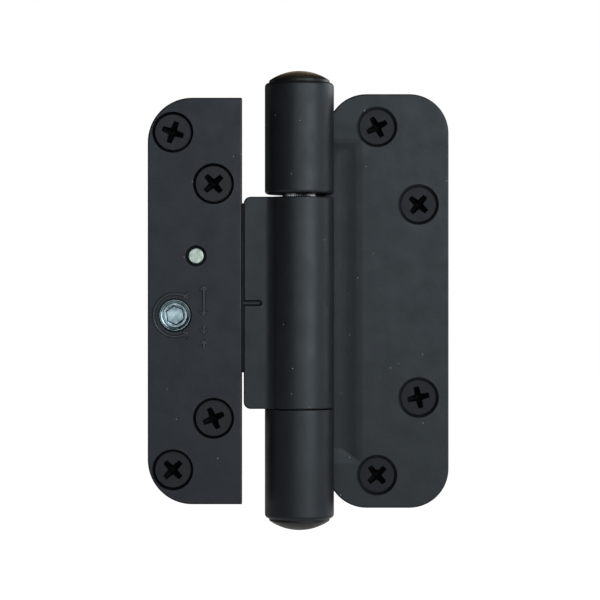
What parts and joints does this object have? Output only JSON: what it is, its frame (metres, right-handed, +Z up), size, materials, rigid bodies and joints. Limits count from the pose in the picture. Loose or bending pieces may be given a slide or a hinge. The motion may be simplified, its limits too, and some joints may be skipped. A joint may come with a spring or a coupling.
{
  "type": "adjustable door hinge",
  "caption": "Three-knuckle door hinge, flat open: frame leaf with both barrels, centre leaf under a screwed cover plate, and adjusters for in-out and height.",
  "frame": {"origin": "on the hinge pin's axis, halfway up the hinge", "axes": "+Z up along the pin, +X from the pin across the frame leaf, -Y out of the faces that meet when the door shuts, +Y into the jamb and the door"},
  "size_m": [0.0915, 0.0495, 0.1393],
  "materials": {
    "leaf_finish": "satin near-black coating on cast metal, faint mottling",
    "cover_finish": "satin near-black coating, a little duller than the leaves",
    "cap_finish": "semi-gloss near-black domed caps",
    "screw_finish": "black oxide screws with a satin head",
    "adjuster_zinc": "bright zinc plate with turned rings",
    "rivet_zinc": "dull zinc plate",
    "bright_steel": "ground steel, lightly oiled",
    "bush_metal": "sintered bronze"
  },
  "bodies": {
    "frame_side": {"frame_leaf": "leaf_finish", "upper_bush": "bush_metal", "lower_bush": "bush_metal", "thread_insert": "bush_metal", "upper_cap": "cap_finish", "lower_cap": "cap_finish", "frame_screw_1": "screw_finish", "frame_screw_2": "screw_finish", "frame_screw_3": "screw_finish", "frame_screw_4": "screw_finish"},
    "pin_lift": {"hinge_pin": "bright_steel", "lower_race": "bright_steel", "bearing_balls": "bright_steel", "ball_cage": "bush_metal", "thrust_button": "bright_steel"},
    "height_adjuster": {"height_screw": "bright_steel"},
    "door_side": {"centre_leaf": "leaf_finish", "knuckle_bush_upper": "bush_metal", "knuckle_bush_lower": "bush_metal", "upper_race": "bright_steel", "guide_rivet": "rivet_zinc"},
    "cover": {"cover_plate": "cover_finish", "cover_screw_1": "screw_finish", "cover_screw_2": "screw_finish", "cover_screw_3": "screw_finish", "cover_screw_4": "screw_finish"},
    "in_out_adjuster": {"adjuster": "adjuster_zinc", "adjuster_washer": "bright_steel"}
  },
  "joints": [
    {"name": "height_slide", "type": "slide", "parent": "frame_side", "child": "pin_lift", "axis": [0, 0, 1], "range_m": [0, 0.00085]},
    {"name": "height_screw_turn", "type": "hinge", "parent": "pin_lift", "child": "height_adjuster", "pos_m": [0, 0, 0], "axis": [0, 0, 1], "range_deg": [-1, 245.8]},
    {"name": "door_swing", "type": "hinge", "parent": "pin_lift", "child": "door_side", "pos_m": [0, 0, 0], "axis": [0, 0, 1], "range_deg": [-85, 180]},
    {"name": "in_out_slide", "type": "slide", "parent": "door_side", "child": "cover", "axis": [1, 0, 0], "range_m": [-0.0005, 0.0005]},
    {"name": "in_out_turn", "type": "hinge", "parent": "cover", "child": "in_out_adjuster", "pos_m": [-0.03746, -0.004, -0.00428], "axis": [0, 1, 0], "range_deg": [-61, 61]}
  ],
  "couplings": [
    {"joint": "height_screw_turn", "follows": "height_slide", "rad_per_m": 5026.5},
    {"joint": "in_out_turn", "follows": "in_out_slide", "rad_per_m": -2094.4}
  ]
}
